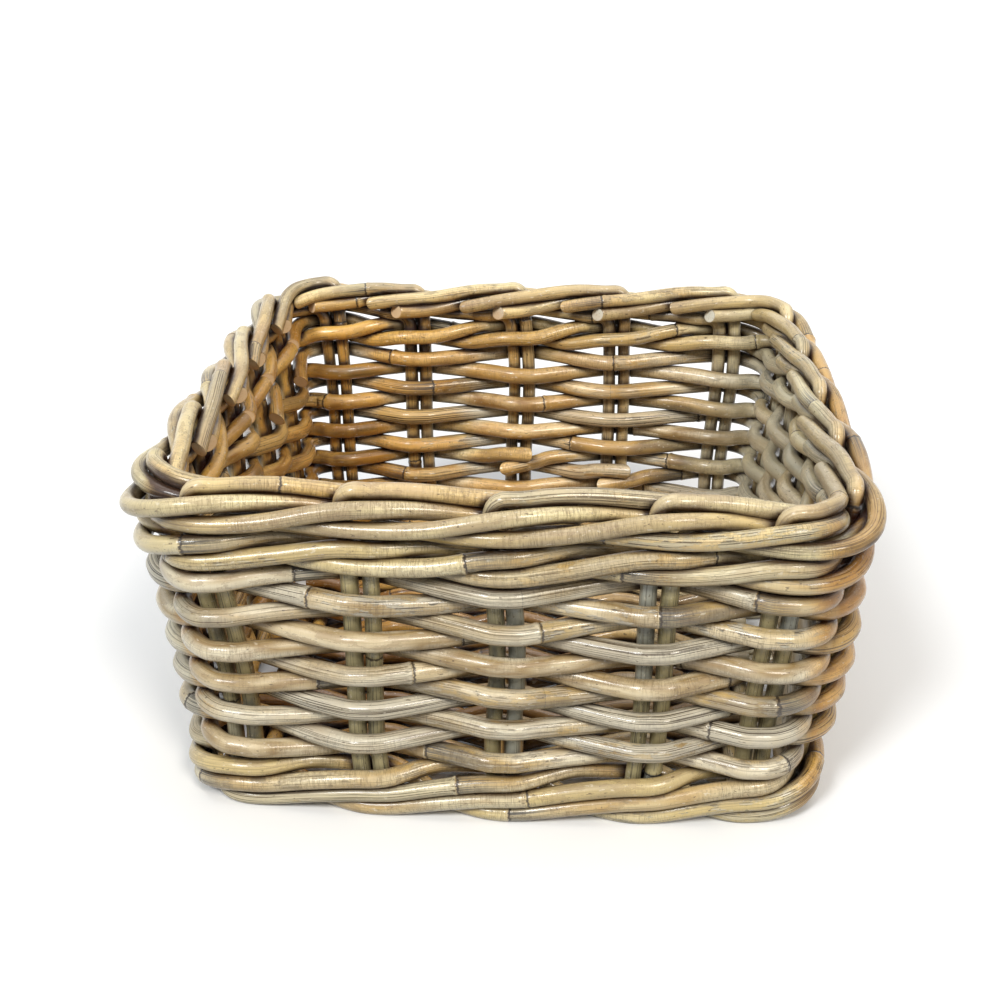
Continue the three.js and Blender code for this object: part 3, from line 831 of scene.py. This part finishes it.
# Noise on a rod's own millimetres: how fast it changes across, across and along the rod,
# its detail and its roughness
PATTERNS = {
    "clouds": ((0.07, 0.07, 0.016), 2.0, 0.5),  # soft changes of colour, 30 to 60 mm long
    "fibres": ((1.7, 1.7, 0.010), 2.0, 0.6),  # 0.4 mm wide in the rod, drawn 0.6 mm
    "flakes": ((0.2, 0.2, 0.06), 6.0, 0.66),  # worn varnish, 5 to 20 mm long
    "crazes": ((0.07, 0.07, 1.3), 2.0, 0.6),  # hair cracks across the skin, about 1 mm apart
    "specks": ((0.55, 0.55, 0.25), 2.0, 0.6),  # dirt and nicks, 1 to 4 mm
}


def marks_and_patterns(tree):
    """What a rod's attributes and the patterns say at a point of its skin, by name."""
    on = SimpleNamespace()
    for label in MARKS:
        setattr(on, label, add(tree, "Attribute", attribute_name=label).node.outputs["Fac"])
    rod = add(tree, "Attribute", attribute_name="rod").node.outputs["Vector"]
    for label, (stretch, detail, rough) in PATTERNS.items():
        scaled = add(tree, "VectorMath", rod, stretch, operation="MULTIPLY")
        setattr(on, label, add(tree, "TexNoise", scaled, 1.0, detail, rough))
    return on


def lacquered_skin(tree, on, tones):
    """The skin: one tone a stretch, drifting along it, with dull flakes of worn varnish, hair
    cracks across it and dark lines along it. Gives its colour, how dull and how cracked."""
    stretch, drift = share(tree, on.reed, TONE_BY_STRETCH), share(tree, on.clouds, TONE_BY_CLOUDS)
    tone_at = add(tree, "Math", stretch, drift, operation="ADD")
    ramp = add(tree, "ValToRGB", add(tree, "Math", tone_at, TONE_START, operation="SUBTRACT"))
    stops = ramp.node.color_ramp.elements
    stops[0].color, stops[1].color = to_linear(tones[0]), to_linear(tones[-1])
    for i, tone in enumerate(tones[1:-1], 1):
        stops.new(i / (len(tones) - 1)).color = to_linear(tone)
    dull = share(tree, (on.flakes, 0.53, 0.55, 0.0, 0.32))
    edge = share(tree, line_at(tree, on.flakes, 0.54, 0.0, 0.012), 0.35)
    cracked = share(tree, line_at(tree, on.crazes, 0.5, 0.0, 0.04), (on.clouds, 0.38, 0.6, 0.1, 0.5))
    lined = share(tree, (on.fibres, 0.36, 0.44, 0.5, 0.0), (on.wear, 0.1, 0.6, 0.3, 1.0))
    colour = painted(tree, ramp, (dull, DULL_VARNISH), (edge, VARNISH_EDGE),
                     (cracked, HAIR_CRACK), (lined, SKIN_LINE))
    return colour, dull, cracked


def bare_fibres(tree, on, skin, tones, worn):
    """Skin worn through by whole stretches to pale fibres with dark lines between them, and
    split and pale where it was bent sharply. Gives the colour, how bare it is, and 1 on
    fibres and 0 between them."""
    wear = share(tree, add(tree, "Math", on.wear, 0.5, operation="SUBTRACT"), 0.8)
    bare_at = add(tree, "Math", on.flakes, wear, operation="ADD")
    bare = share(tree, (bare_at, 0.66 - worn, 0.72 - worn, 0.0, 0.9))
    fibre = share(tree, (on.fibres, 0.41, 0.47))
    tinted = share(tree, (on.reed, 0.2, 0.8, 0.15, 0.6))
    cane = painted(tree, tones[0], (fibre, tones[1]), (tinted, skin))
    split = share(tree, on.strain, (on.fibres, 0.42, 0.52, 0.3, 0.8))
    return painted(tree, skin, (bare, cane), (split, SPLIT_FIBRE)), bare, fibre


def stood_upright(tree, on, colour):
    """Up the wall, behind the weavers, stakes are olive or blue grey, partly their own weathered
    tone and partly painted cool shade, with slate patches and dark streaks."""
    grey = painted(tree, OLIVE,
                   (share(tree, (on.reed, 0.35, 0.65)), BLUE_GREY),
                   (share(tree, (on.clouds, 0.56, 0.68, 0.0, 0.75)), SLATE),
                   (share(tree, (on.fibres, 0.46, 0.34, 0.0, 0.8)), DARK_STREAK))
    return painted(tree, colour, (share(tree, on.upright, 0.85), grey))


def with_painted_light(tree, on, colour):
    """Painted cool grey light where light falls, and painted golden brown shade out of the light."""
    # painted cool grey light
    cool_lit = share(tree, on.bleach, (on.reed, 0.2, 0.8, 0.2, 0.5))
    colour = painted(tree, colour, (cool_lit, PAINTED_COOL_LIGHT))
    # painted warm shade, golden brown
    golden = painted(tree, colour, (1.0, WARM_SHADE_TINT), mode="MULTIPLY")
    return painted(tree, colour, (on.shelter, golden))


def marked(tree, on, colour):
    """Scuffs, dirt, and the dark leaf rings with a stain on one side of some of them. Where rods
    lie close, shade is painted dark, browner where the warm shade is painted."""
    torn = share(tree, add(tree, "Math", on.specks, 0.5, operation="SUBTRACT"), RING_RAGGED)
    ragged = add(tree, "Math", on.ring, torn, operation="ADD")
    stain = share(tree, (ragged, 1.0, STAIN_REACH, 0.85, 0.0), (ragged, -0.5, 1.0),
                  (on.reed, 0.45, 0.6), (on.fibres, 0.62, 0.40, 0.15, 1.0))
    line = line_at(tree, ragged, RING_LINE_AT, RING_LINE_CORE, RING_LINE_WIDTH, 0.9)
    colour = painted(tree, colour,
                     (share(tree, (on.specks, 0.36, 0.28, 0.0, 0.45)), SCUFF),
                     (share(tree, (on.specks, 0.66, 0.74, 0.0, 0.7)), DIRT),
                     (stain, STAIN), (line, LEAF_RING))
    # painted shade between rods that lie close
    crevice_shade_tone = painted(tree, CREVICE_SHADE, (on.shelter, CREVICE_SHADE_WARM))
    dark = painted(tree, colour, (1.0, crevice_shade_tone), mode="MULTIPLY")
    return painted(tree, colour, (on.crevice, dark))


def rattan(name, tones, fibre, worn, stands):
    """Rattan: a lacquered skin, satin, that in places is worn through to dull fibres.

    tones are the colours of the skin, by stretch between two leaf rings. fibre is the dark
    and the pale colour of the bare fibres. worn is how much more of it is bare. stands is
    for rods that also stand upright.
    """
    material, tree, surface = new_finish(name)
    on = marks_and_patterns(tree)
    skin, dull, cracked = lacquered_skin(tree, on, tones)
    colour, bare, lines = bare_fibres(tree, on, skin, fibre, worn)
    if stands:
        colour = stood_upright(tree, on, colour)
    colour = marked(tree, on, with_painted_light(tree, on, colour))
    tree.links.new(colour, surface.inputs["Base Color"])

    satin = share(tree, (bare, 0.0, 1.0, SKIN_ROUGHNESS, FIBRE_ROUGHNESS))
    roughness = add(tree, "Math", satin, share(tree, dull, DULL_ROUGHNESS), operation="ADD")
    tree.links.new(roughness, surface.inputs["Roughness"])
    surface.inputs["IOR"].default_value = RATTAN_IOR
    surface.inputs["Coat Weight"].default_value = COAT
    surface.inputs["Coat Roughness"].default_value = COAT_ROUGHNESS

    # relief: the fibres stand out, most where they are bare, and cracks and flakes are sunk
    relief = share(tree, lines, (bare, 0.0, 1.0, RELIEF_SKIN, RELIEF_FIBRE))
    relief = add(tree, "Math", relief, share(tree, cracked, RELIEF_CRACK), operation="SUBTRACT")
    relief = add(tree, "Math", relief, share(tree, dull, RELIEF_FLAKE), operation="SUBTRACT")
    bump = add(tree, "Bump", RELIEF_STRENGTH, MM)
    tree.links.new(relief, bump.node.inputs["Height"])
    tree.links.new(bump, surface.inputs["Normal"])
    return material


def cut_cane():
    """The cut end of a rod: dull pale pith with open pores about 1 mm apart, and the darker
    skin round it. Where the warm shade is painted, the pith is painted warmer too."""
    material, tree, surface = new_finish("cut rattan pith")
    rod = add(tree, "Attribute", attribute_name="rod").node.outputs["Vector"]
    shelter = add(tree, "Attribute", attribute_name="shelter").node.outputs["Fac"]
    pores = add(tree, "TexVoronoi", rod, PORES)
    across = add(tree, "VectorMath", rod, (1.0, 1.0, 0.0), operation="MULTIPLY")
    from_middle = add(tree, "VectorMath", across, operation="LENGTH")
    # the last coat is painted warm shade on the pith
    colour = painted(tree, PITH,
                     (share(tree, (pores, 0.12, 0.34)), PITH_LIGHT),
                     (share(tree, (from_middle, PITH_EDGE, PITH_END, 0.0, 0.7)), PITH_RIM),
                     (share(tree, (shelter, 0.2, 0.7, 0.0, 0.8)), PITH_IN_SHADE))
    tree.links.new(colour, surface.inputs["Base Color"])
    surface.inputs["Roughness"].default_value = PITH_ROUGHNESS
    return material


FINISH = {kind: rattan(f"{kind} rattan, skin on", SKIN_TONES[kind], FIBRE_TONES[kind],
                       WORN[kind], kind == "stake") for kind in SKIN_TONES}
CUT = cut_cane()


# The basket

FIRST_SEED = 100

for seed, (name, points, loose, tucked, diameter, kind) in enumerate(RODS, FIRST_SEED):
    piece = rod_mesh(f"{name}_rod", points, loose, tucked, diameter, kind, seed)
    piece.data.materials.append(FINISH[kind])
    piece.data.materials.append(CUT)
    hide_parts(name)
    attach(piece, "root")


# Floor, in metres. It is white to the eye, and grey to the light that it throws back.

FLOOR_HALF = 9
FLOOR_SEEN, FLOOR_LIT = "fbfbfb", "787878"


def looked_at(tree):
    """1 for what the eye sees, also in a gloss or through glass, and 0 for the light itself."""
    ray = add(tree, "LightPath").node.outputs
    glossy, through = ray["Is Glossy Ray"], ray["Is Transmission Ray"]
    mirrored = add(tree, "Math", glossy, through, operation="MAXIMUM")
    return add(tree, "Math", ray["Is Camera Ray"], mirrored, operation="MAXIMUM")


floor_finish, tree, surface = new_finish("white studio floor")
floor_tone = painted(tree, FLOOR_LIT, (looked_at(tree), FLOOR_SEEN))
tree.links.new(floor_tone, surface.inputs["Base Color"])
surface.inputs["Roughness"].default_value = 1.0
floor_mesh = bpy.data.meshes.new("studio floor")
corners = [(x * FLOOR_HALF, y * FLOOR_HALF, 0) for x, y in ((-1, -1), (1, -1), (1, 1), (-1, 1))]
floor_mesh.from_pydata(corners, [], [(0, 1, 2, 3)])
floor_mesh.materials.append(floor_finish)
floor = bpy.data.objects.new("studio floor", floor_mesh)
bpy.context.scene.collection.objects.link(floor)


# Light

WORLD_LIT, WORLD_SEEN = (0.86, 0.93, 1.0, 1.0), (1.0, 1.0, 1.0, 1.0)
WORLD_LIT_STRENGTH, WORLD_SEEN_STRENGTH = 0.15, 1.0


def soft_light(name, strength, spread, towards, tint):
    """An even light from one side of the sky, as wide as spread degrees."""
    data = bpy.data.lights.new(name, "SUN")
    data.energy = strength
    data.angle = math.radians(spread)
    data.color = tint
    light = bpy.data.objects.new(name, data)
    bpy.context.scene.collection.objects.link(light)
    x, y, z = towards
    light.rotation_euler = (math.atan2(math.hypot(x, y), z), 0, math.atan2(x, -y))


soft_light("front left", strength=1.9, spread=16, towards=(-0.6, -1.0, 1.1), tint=(0.97, 0.99, 1.0))
soft_light("front right", strength=1.5, spread=16, towards=(0.6, -1.0, 1.0), tint=(1.0, 0.94, 0.84))
soft_light("overhead", strength=1.3, spread=60, towards=(0.1, 0.15, 1.0), tint=(1.0, 1.0, 1.0))

world = bpy.data.worlds.new("studio")
bpy.context.scene.world = world
world.use_nodes = True
tree = world.node_tree
background = tree.nodes["Background"]
seen = looked_at(tree)
tree.links.new(painted(tree, WORLD_LIT, (seen, WORLD_SEEN)), background.inputs["Color"])
strength = share(tree, (seen, 0, 1, WORLD_LIT_STRENGTH, WORLD_SEEN_STRENGTH))
tree.links.new(strength, background.inputs["Strength"])


# Camera where the photograph was taken, from its vanishing lines and the basket's size

PHOTO_WIDTH, FOCAL_LENGTH = 1000, 1507.6  # pixels
SENSOR = 36
YAW, PITCH, ROLL = math.radians(4.14), math.radians(23.92), math.radians(-0.34)
CAMERA_PLACE = (0.0524, -0.8705, 0.5)

camera_data = bpy.data.cameras.new("photograph")
camera_data.sensor_width = SENSOR
camera_data.lens = SENSOR * FOCAL_LENGTH / PHOTO_WIDTH
camera = bpy.data.objects.new("photograph", camera_data)
bpy.context.scene.collection.objects.link(camera)
camera.location = CAMERA_PLACE
camera.rotation_euler = (Matrix.Rotation(YAW, 3, "Z") @ Matrix.Rotation(math.pi / 2 - PITCH, 3, "X")
                         @ Matrix.Rotation(ROLL, 3, "Z")).to_euler()
bpy.context.scene.camera = camera
bpy.context.scene.view_settings.view_transform = "Standard"
